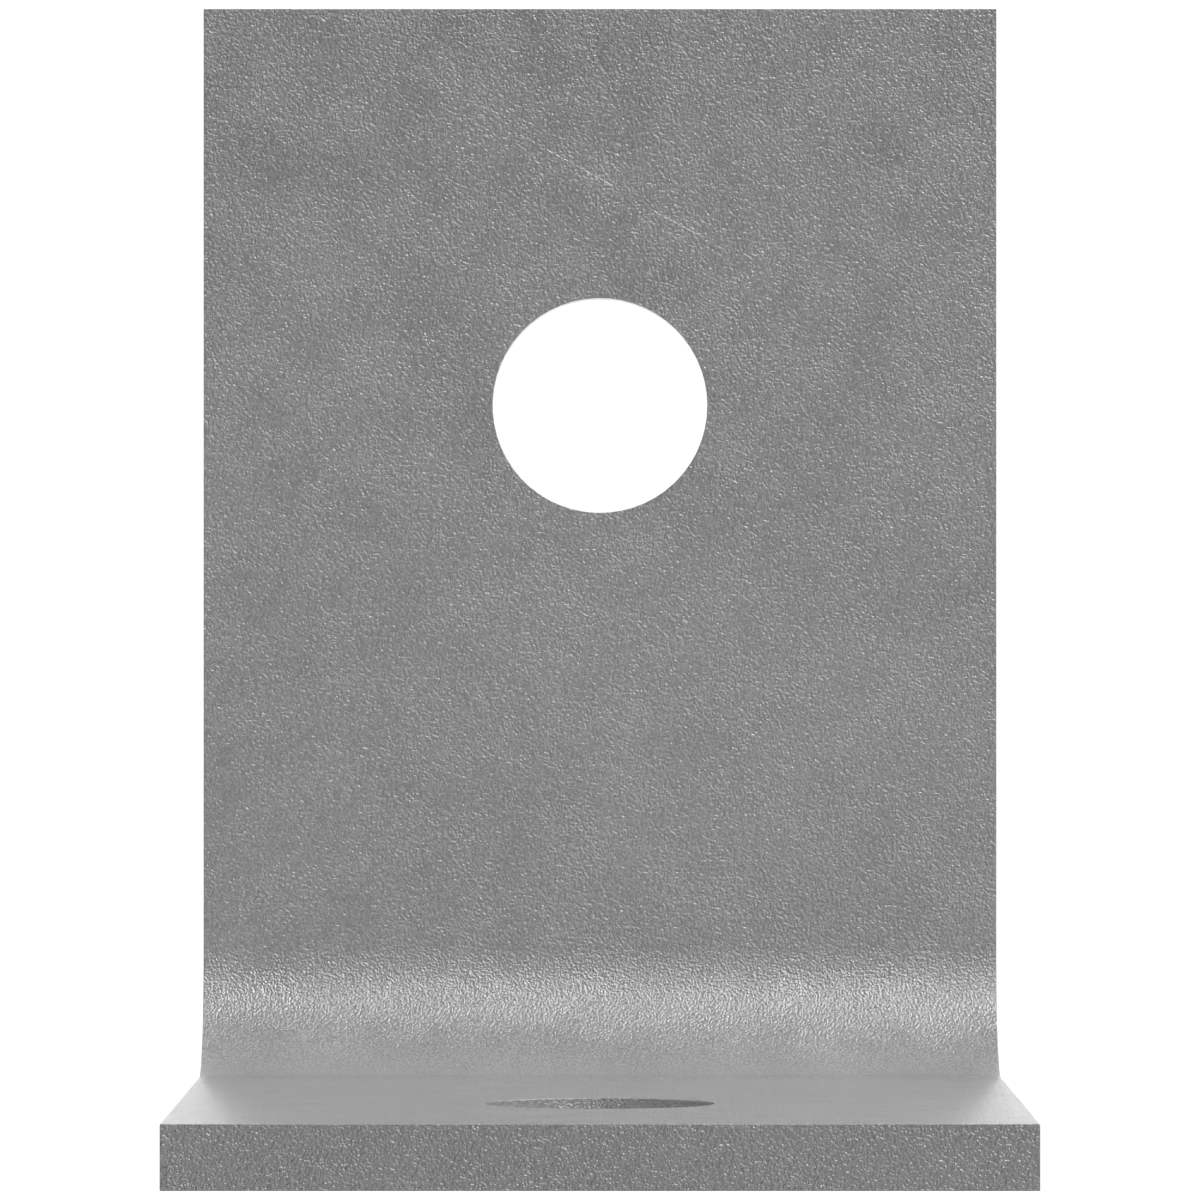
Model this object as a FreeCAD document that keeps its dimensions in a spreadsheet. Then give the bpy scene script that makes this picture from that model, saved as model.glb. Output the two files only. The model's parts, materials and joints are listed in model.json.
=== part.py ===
"""Angle bracket: one steel plate, bent once to a right angle, with a bolt hole punched in each leg.

Millimetres, +Z up. The origin is the centre of the base's bolt hole, on the underside of the base.
The base lies on Z = 0 and runs along Y. The upright rises at the base's +Y end.
"""

import FreeCAD
import Part
import Sketcher

import math
import os

# Driving dimensions: name, value, and what the value measures.
DIMENSIONS = (
    ("bracket_width", 76.2, "length of the bend, along X"),
    ("base_depth", 107.95, "free end of the base to the back of the upright"),
    ("upright_height", 107.95, "underside of the base to the free end of the upright"),
    ("plate_thickness", 5.8, "thickness of the plate, the same all round the bend"),
    ("inside_bend_radius", 11.6, "radius of the inside of the bend"),
    ("bolt_diameter", 19.05, "bolt that each hole takes"),
    ("bolt_clearance", 1.59, "how much wider a hole is than its bolt"),
    ("base_hole_gauge", 69.85, "back of the upright to the centre of the base's hole"),
    ("upright_hole_gauge", 69.85, "underside of the base to the centre of the upright's hole"),
    ("edge_break", 0.08, "radius on the plate's cut edges and round the holes"),
)

# How a sketch constraint numbers the points of a line or arc, counting up from 1, and the sketch's axes,
# counting down from -1. The origin is the start of the X axis.
START, END, CENTRE = range(1, 4)
X_AXIS, Y_AXIS = range(-1, -3, -1)
ORIGIN = (X_AXIS, START)

# The spreadsheet holds one row for each dimension: name, value under that alias, meaning.
doc = FreeCAD.newDocument("bracket")
sheet = doc.addObject("Spreadsheet::Sheet", "Dimensions")
for row, (name, value, meaning) in enumerate(DIMENSIONS, start=1):
    sheet.set(f"A{row}", name)
    sheet.set(f"B{row}", str(value))
    sheet.setAlias(f"B{row}", name)
    sheet.set(f"C{row}", meaning)
doc.recompute()

body = doc.addObject("PartDesign::Body", "AngleBracket")
body.Label = "angle_bracket"


def add_sketch(name, role):
    """An empty sketch on the body's origin plane that has this role."""
    sketch = body.newObject("Sketcher::SketchObject", name)
    plane = next(feature for feature in body.Origin.OriginFeatures if feature.Role == role)
    sketch.AttachmentSupport = [(plane, "")]
    sketch.MapMode = "FlatFace"
    return sketch


def add_line(sketch, x1, y1, x2, y2):
    """A straight line between two points of the sketch."""
    return sketch.addGeometry(Part.LineSegment(FreeCAD.Vector(x1, y1), FreeCAD.Vector(x2, y2)))


def make_circle(x, y, radius):
    """A circle in the plane of a sketch."""
    return Part.Circle(FreeCAD.Vector(x, y), FreeCAD.Vector(0, 0, 1), radius)


def add_size(sketch, name, formula, kind, *where):
    """A named dimension of a sketch, tied to the spreadsheet by a formula."""
    index = sketch.addConstraint(Sketcher.Constraint(kind, *where, sheet.evalExpression(formula)))
    sketch.renameConstraint(index, name)
    sketch.setExpression(f"Constraints.{name}", formula)


def add_hole(name, role, gauge, along_normal):
    """A round bolt hole through one leg, cut from a circle on an origin plane.

    The gauge sets how far up the plane the hole's centre is. The cut runs along the plane's normal
    or against it, whichever way the leg lies.
    """
    sketch = add_sketch(f"{name}_circle", role)
    height = sheet.evalExpression(gauge) if gauge else 0
    diameter = "Dimensions.bolt_diameter + Dimensions.bolt_clearance"
    circle = sketch.addGeometry(make_circle(0, height, sheet.evalExpression(diameter) / 2))
    if gauge:
        sketch.addConstraint(Sketcher.Constraint("PointOnObject", circle, CENTRE, Y_AXIS))
        add_size(sketch, "hole_gauge", gauge, "DistanceY", *ORIGIN, circle, CENTRE)
    else:
        sketch.addConstraint(Sketcher.Constraint("Coincident", circle, CENTRE, *ORIGIN))
    add_size(sketch, "hole_diameter", diameter, "Diameter", circle)
    hole = body.newObject("PartDesign::Pocket", name)
    hole.Profile = sketch
    hole.Type = "ThroughAll"
    hole.Reversed = along_normal
    return hole


# Section across the bend, with Y to the right and Z up: two straight legs and two concentric arcs.
back = sheet.base_hole_gauge
front = back - sheet.base_depth
top = sheet.upright_height
thickness = sheet.plate_thickness
inside_radius = sheet.inside_bend_radius
outside_radius = inside_radius + thickness
bend_y = back - outside_radius
bend_z = outside_radius
inside_circle = make_circle(bend_y, bend_z, inside_radius)
outside_circle = make_circle(bend_y, bend_z, outside_radius)
quarter = (math.radians(-90), 0)

section = add_sketch("section", "YZ_Plane")
underside = add_line(section, front, 0, bend_y, 0)
outside_bend = section.addGeometry(Part.ArcOfCircle(outside_circle, *quarter))
back_face = add_line(section, back, bend_z, back, top)
upright_end = add_line(section, back, top, back - thickness, top)
front_face = add_line(section, back - thickness, top, back - thickness, bend_z)
inside_bend = section.addGeometry(Part.ArcOfCircle(inside_circle, *quarter))
base_top = add_line(section, bend_y, thickness, front, thickness)
base_end = add_line(section, front, thickness, front, 0)

for rule in (
    ("Tangent", underside, END, outside_bend, START),
    ("Tangent", outside_bend, END, back_face, START),
    ("Coincident", back_face, END, upright_end, START),
    ("Coincident", upright_end, END, front_face, START),
    ("Tangent", front_face, END, inside_bend, END),
    ("Tangent", inside_bend, START, base_top, START),
    ("Coincident", base_top, END, base_end, START),
    ("Coincident", base_end, END, underside, START),
    ("Coincident", inside_bend, CENTRE, outside_bend, CENTRE),
    ("Horizontal", underside),
    ("Horizontal", upright_end),
    ("Horizontal", base_top),
    ("Vertical", back_face),
    ("Vertical", front_face),
    ("Vertical", base_end),
    ("PointOnObject", underside, START, X_AXIS),
):
    section.addConstraint(Sketcher.Constraint(*rule))

for name, kind, *where in (
    ("inside_bend_radius", "Radius", inside_bend),
    ("plate_thickness", "DistanceX", upright_end, END, upright_end, START),
    ("base_depth", "DistanceX", underside, START, back_face, END),
    ("upright_height", "DistanceY", underside, START, back_face, END),
    ("base_hole_gauge", "DistanceX", *ORIGIN, back_face, END),
):
    add_size(section, name, f"Dimensions.{name}", kind, *where)

# The bent plate: the section, run half the width to each side of the middle.
plate = body.newObject("PartDesign::Pad", "plate")
plate.Profile = section
plate.SideType = "Symmetric"
plate.setExpression("Length", "Dimensions.bracket_width")

# One bolt hole in each leg: the base's on the origin, and the upright's straight above its gauge line.
base_hole = add_hole("base_hole", "XY_Plane", None, along_normal=True)
upright_hole = add_hole("upright_hole", "XZ_Plane", "Dimensions.upright_hole_gauge", along_normal=False)
doc.recompute()

# The cut edges lose their sharpness. Where a flat runs smoothly into the bend there is no edge.
broken_edges = body.newObject("PartDesign::Fillet", "broken_edges")
broken_edges.Base = (upright_hole, [""])
broken_edges.UseAllEdges = True
broken_edges.setExpression("Radius", "Dimensions.edge_break")
doc.recompute()

# Nothing is written unless every feature is built, every sketch is fixed and every cut removed metal.
for item in doc.Objects:
    if "Invalid" in item.State or "Error" in item.State:
        raise RuntimeError(f"{item.Label} did not build: {item.State}")
for item in body.Group:
    if item.isDerivedFrom("Sketcher::SketchObject") and not item.FullyConstrained:
        raise RuntimeError(f"{item.Label} is not fully constrained")
for cut in (base_hole, upright_hole, broken_edges):
    if cut.Shape.Volume >= cut.BaseFeature.Shape.Volume:
        raise RuntimeError(f"{cut.Label} removed nothing")
if body.Shape.isNull() or not body.Shape.isValid() or len(body.Shape.Solids) != 1:
    raise RuntimeError(f"{body.Label} is not one sound solid")

os.makedirs("parts", exist_ok=True)
body.Shape.exportStep(f"parts/{body.Label}.step")
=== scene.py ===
import json
import math

import bpy
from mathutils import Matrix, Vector


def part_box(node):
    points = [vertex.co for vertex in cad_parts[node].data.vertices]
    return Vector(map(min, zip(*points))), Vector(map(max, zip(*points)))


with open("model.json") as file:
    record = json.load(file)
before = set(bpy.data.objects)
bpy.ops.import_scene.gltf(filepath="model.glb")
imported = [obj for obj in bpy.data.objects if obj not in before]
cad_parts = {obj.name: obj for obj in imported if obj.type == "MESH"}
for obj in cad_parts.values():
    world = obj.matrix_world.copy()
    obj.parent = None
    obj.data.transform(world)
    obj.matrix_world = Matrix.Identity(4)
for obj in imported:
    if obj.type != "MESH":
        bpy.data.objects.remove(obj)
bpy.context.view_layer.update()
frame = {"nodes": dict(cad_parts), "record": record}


# The bracket: one thick steel plate, bent once to a right angle, with a bolt hole punched in each leg.
# It is coated grey all over. The coat dried with a fine pebbled skin, a little glossy, with painted shade in
# its pits and painted light on its peaks. The skin is rougher where the plate was cut and punched, with
# painted shade there, and has one fine broken scratch.
bracket = frame["nodes"]["angle_bracket"]
low_corner, high_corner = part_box("angle_bracket")

coat = bpy.data.materials.new("grey_pebbled_coat")
coat.use_nodes = True
tree = coat.node_tree
surface = tree.nodes["Principled BSDF"]
place = tree.nodes.new("ShaderNodeTexCoord").outputs["Object"]


def add_noise(tree, vector, size, layers):
    """A noise texture with spots of about this size, in metres, and this many finer layers in them."""
    noise = tree.nodes.new("ShaderNodeTexNoise")
    noise.inputs["Scale"].default_value = 1 / size
    noise.inputs["Detail"].default_value = layers
    tree.links.new(vector, noise.inputs["Vector"])
    return noise.outputs["Fac"]


def add_range(tree, value, from_min, from_max, to_min=0, to_max=1):
    """A value moved from one range to another, and held at its ends."""
    mapped = tree.nodes.new("ShaderNodeMapRange")
    mapped.inputs["From Min"].default_value = from_min
    mapped.inputs["From Max"].default_value = from_max
    mapped.inputs["To Min"].default_value = to_min
    mapped.inputs["To Max"].default_value = to_max
    tree.links.new(value, mapped.inputs["Value"])
    return mapped.outputs["Result"]


def add_math(tree, operation, first, *others):
    """Values taken together one after another, such as by MULTIPLY or MAXIMUM."""
    result = first
    for other in others:
        node = tree.nodes.new("ShaderNodeMath")
        node.operation = operation
        tree.links.new(result, node.inputs[0])
        tree.links.new(other, node.inputs[1])
        result = node.outputs[0]
    return result


def add_dot(tree, vector, direction):
    """How far a place lies from the origin in this direction."""
    dot = tree.nodes.new("ShaderNodeVectorMath")
    dot.operation = "DOT_PRODUCT"
    dot.inputs[1].default_value = direction
    tree.links.new(vector, dot.inputs[0])
    return dot.outputs["Value"]


def add_bump(tree, height, distance):
    """A bump node, whose strength is 1 until something is linked to it."""
    bump = tree.nodes.new("ShaderNodeBump")
    bump.inputs["Distance"].default_value = distance
    tree.links.new(height, bump.inputs["Height"])
    return bump


# Where the plate was cut: each share is 1 on one cut edge, or in one hole, and 0 on the faces. The cut edges
# are the two sides, the end of the base and the end of the upright.
edge_depth = 0.00008
millimetre = 0.001
axes = tree.nodes.new("ShaderNodeSeparateXYZ")
tree.links.new(place, axes.inputs[0])
edge_shares = [
    add_range(tree, axes.outputs["X"], low_corner.x + edge_depth, low_corner.x),
    add_range(tree, axes.outputs["X"], high_corner.x - edge_depth, high_corner.x),
    add_range(tree, axes.outputs["Y"], low_corner.y + edge_depth, low_corner.y),
    add_range(tree, axes.outputs["Z"], high_corner.z - edge_depth, high_corner.z),
]
hole_shares = []
for mount in frame["record"]["mounts"]:
    if mount["kind"] == "bore":
        hole_radius = mount["dims"]["r_mm"] * millimetre
        # A hole runs along X, Y or Z, and the other two tell how far a place lies from the hole's axis.
        across = [1 - abs(part) for part in mount["axis"]]
        from_axis = tree.nodes.new("ShaderNodeVectorMath")
        from_axis.operation = "MULTIPLY_ADD"
        from_axis.inputs[1].default_value = across
        from_axis.inputs[2].default_value = [-at * share for at, share in zip(mount["pos_m"], across)]
        reach = tree.nodes.new("ShaderNodeVectorMath")
        reach.operation = "LENGTH"
        tree.links.new(place, from_axis.inputs[0])
        tree.links.new(from_axis.outputs["Vector"], reach.inputs[0])
        hole_shares.append(add_range(tree, reach.outputs["Value"], hole_radius + edge_depth, hole_radius))
on_edge = add_math(tree, "MAXIMUM", *edge_shares)
in_hole = add_math(tree, "MAXIMUM", *hole_shares)

# The scratch: two fine straight strokes in one line on the front of the upright, between these points. Each
# share is 1 along the middle of a stroke, and the coat stands up there in a ridge.
scratch_strokes = (
    (Vector((-0.0057, 0, 0.0947)), Vector((0.0020, 0, 0.0905))),
    (Vector((0.0044, 0, 0.0889)), Vector((0.0106, 0, 0.0856))),
)
scratch_reach = 0.0002
scratch_fade = 0.001
front_depth = 0.003
ridge_top = 0.65
through_plate = Vector((0, 1, 0))
on_front = add_range(tree, axes.outputs["Y"], high_corner.y, high_corner.y - front_depth)
ridges = []
for start, end in scratch_strokes:
    along = (end - start).normalized()
    across = along.cross(through_plate)
    first = start.dot(along)
    last = end.dot(along)
    middle = start.dot(across)
    reach_along = add_dot(tree, place, along)
    reach_across = add_dot(tree, place, across)
    share = add_math(
        tree,
        "MINIMUM",
        on_front,
        add_range(tree, reach_across, middle - scratch_reach, middle),
        add_range(tree, reach_across, middle + scratch_reach, middle),
        add_range(tree, reach_along, first, first + scratch_fade),
        add_range(tree, reach_along, last, last - scratch_fade),
    )
    ridges.append(add_range(tree, share, 0, 1, 0, ridge_top))

# The skin: pebbles that stand lower in some patches, where the coat is also a little glossier. They stand at
# their full height on the cut edges and in the holes.
pebble_size = 0.00023
pebble_layers = 1
pebble_height = 0.00016
patch_size = 0.005
patch_layers = 2
lowest_share = 0.6
highest_share = 0.8
glossiest = 0.28
dullest = 0.35
coat_ior = 2.25
# Most of a noise texture's values lie between these two.
noise_low = 0.35
noise_high = 0.65
pebbles = add_math(tree, "MAXIMUM", add_noise(tree, place, pebble_size, pebble_layers), *ridges)
patches = add_noise(tree, place, patch_size, patch_layers)
face_share = add_range(tree, patches, noise_low, noise_high, lowest_share, highest_share)
gloss = add_range(tree, patches, noise_low, noise_high, glossiest, dullest)
skin = add_bump(tree, pebbles, pebble_height)
tree.links.new(add_math(tree, "MAXIMUM", face_share, on_edge, in_hole), skin.inputs["Strength"])
tree.links.new(skin.outputs["Normal"], surface.inputs["Normal"])
tree.links.new(gloss, surface.inputs["Roughness"])
surface.inputs["IOR"].default_value = coat_ior

# The grey: it wanders a little in soft clouds. Painted shade darkens it in the pits, on the cut edges and in
# the holes, and painted light brightens it on the peaks. These painted shares are of the coat's own grey.
coat_grey = 0.29
grey_wander = 0.015
# Painted shade in the pits and painted light on the peaks.
painted_pit_shade = 0.8
painted_peak_light = 1.2
# Painted shade on the cut edges.
painted_edge_shade = 0.57
# Painted shade in the holes.
painted_hole_shade = 0.82
cloud_size = 0.014
cloud_layers = 3
clouds = add_noise(tree, place, cloud_size, cloud_layers)
grey = add_math(
    tree,
    "MULTIPLY",
    add_range(tree, clouds, noise_low, noise_high, coat_grey - grey_wander, coat_grey + grey_wander),
    add_range(tree, pebbles, noise_low, noise_high, painted_pit_shade, painted_peak_light),
    add_range(tree, on_edge, 0, 1, 1, painted_edge_shade),
    add_range(tree, in_hole, 0, 1, 1, painted_hole_shade),
)
tree.links.new(grey, surface.inputs["Base Color"])

# The shine: looked along at a low angle, the coat reflects like a smooth one, with a slight sideways blur.
# The blur comes from very fine waves, drawn out along the plate.
shine_start = 0.75
shine_full = 0.94
shine_roughness = 0.15
wave_size = 0.00005
wave_layers = 1
wave_height = 0.00015
wave_stretch = 250
facing = tree.nodes.new("ShaderNodeLayerWeight").outputs["Facing"]
drawn_out = tree.nodes.new("ShaderNodeMapping")
drawn_out.inputs["Scale"].default_value = (1, 1 / wave_stretch, 1 / wave_stretch)
tree.links.new(place, drawn_out.inputs["Vector"])
waves = add_noise(tree, drawn_out.outputs["Vector"], wave_size, wave_layers)
ripple = add_bump(tree, waves, wave_height)
tree.links.new(add_range(tree, facing, shine_start, shine_full), surface.inputs["Coat Weight"])
tree.links.new(ripple.outputs["Normal"], surface.inputs["Coat Normal"])
surface.inputs["Coat Roughness"].default_value = shine_roughness

bracket.data.materials[0] = coat


# The floor and the backdrop: broad sheets of paper that look white to the camera and in reflections.
# The bracket stands near the front edge of the floor sheet, which takes its shadow.
floor_front = -0.25
backdrop_y = 2.0
backdrop_height = 6
sheet_width = 12
floor_glow = 0.94
backdrop_glow = 1.0
paper_grey = 0.18
white = (1, 1, 1, 1)
quarter_turn = math.pi / 2
for name, centre, length, tilt, glow in (
    ("floor", (0, (floor_front + backdrop_y) / 2, 0), backdrop_y - floor_front, 0, floor_glow),
    ("backdrop", (0, backdrop_y, backdrop_height / 2), backdrop_height, quarter_turn, backdrop_glow),
):
    bpy.ops.object.select_all(action="DESELECT")
    bpy.ops.mesh.primitive_plane_add(size=1, location=centre, rotation=(tilt, 0, 0))
    sheet = bpy.context.object
    sheet.name = name
    sheet.scale = (sheet_width, length, 1)
    bpy.ops.object.transform_apply(location=True, rotation=True, scale=True)
    paper = bpy.data.materials.new(f"white_{name}")
    paper.use_nodes = True
    tree = paper.node_tree
    surface = tree.nodes["Principled BSDF"]
    surface.inputs["Base Color"].default_value = (paper_grey, paper_grey, paper_grey, 1)
    surface.inputs["Roughness"].default_value = 1
    surface.inputs["Specular IOR Level"].default_value = 0
    surface.inputs["Emission Color"].default_value = white
    ray = tree.nodes.new("ShaderNodeLightPath").outputs
    seen = add_math(tree, "MAXIMUM", ray["Is Camera Ray"], ray["Is Glossy Ray"], ray["Is Transmission Ray"])
    tree.links.new(add_range(tree, seen, 0, 1, 0, glow), surface.inputs["Emission Strength"])
    sheet.data.materials.append(paper)


# The light: a tall soft lamp in front, a broader and stronger one on the right, and a weaker one on the left.
# The room beyond the sheets is seen as white and is otherwise nearly dark.
room_glow = 0.02
room = bpy.data.worlds.new("white_room")
bpy.context.scene.world = room
room.use_nodes = True
tree = room.node_tree
tree.nodes.clear()
ray = tree.nodes.new("ShaderNodeLightPath").outputs
seen = add_math(tree, "MAXIMUM", ray["Is Camera Ray"], ray["Is Transmission Ray"])
air = tree.nodes.new("ShaderNodeBackground")
air.inputs["Color"].default_value = white
room_output = tree.nodes.new("ShaderNodeOutputWorld")
tree.links.new(add_range(tree, seen, 0, 1, room_glow, 1), air.inputs["Strength"])
tree.links.new(air.outputs[0], room_output.inputs["Surface"])

lamp_distance = 3.0
aim_height = 0.05
for name, shape, turn_degrees, rise_degrees, lamp_width, lamp_height, power in (
    ("front_lamp", "RECTANGLE", 20, 38, 1.06, 1.7, 45.5),
    ("right_lamp", "ELLIPSE", 80, 46, 1.95, 1.95, 84),
    ("left_lamp", "ELLIPSE", -88, 43, 1.95, 1.95, 34),
):
    turn = math.radians(turn_degrees)
    rise = math.radians(rise_degrees)
    lamp_data = bpy.data.lights.new(name, "AREA")
    lamp_data.shape = shape
    lamp_data.size = lamp_width
    lamp_data.size_y = lamp_height
    lamp_data.energy = power
    lamp = bpy.data.objects.new(name, lamp_data)
    bpy.context.scene.collection.objects.link(lamp)
    lamp.location = (
        lamp_distance * math.cos(rise) * math.sin(turn),
        -lamp_distance * math.cos(rise) * math.cos(turn),
        aim_height + lamp_distance * math.sin(rise),
    )
    lamp.rotation_euler = (quarter_turn - rise, 0, turn)


# The camera: a long lens, level and square on to the upright, a little under half way up it.
# The lens and the sensor are in millimetres, and the rest is in metres.
lens_length = 319.46
sensor_width = 36
camera_distance = 0.9212
camera_height = 0.05114
camera_data = bpy.data.cameras.new("camera")
camera_data.lens = lens_length
camera_data.sensor_width = sensor_width
camera = bpy.data.objects.new("camera", camera_data)
bpy.context.scene.collection.objects.link(camera)
camera.location = (0, low_corner.y - camera_distance, camera_height)
camera.rotation_euler = (quarter_turn, 0, 0)
bpy.context.scene.camera = camera
bpy.context.scene.view_settings.view_transform = "Standard"
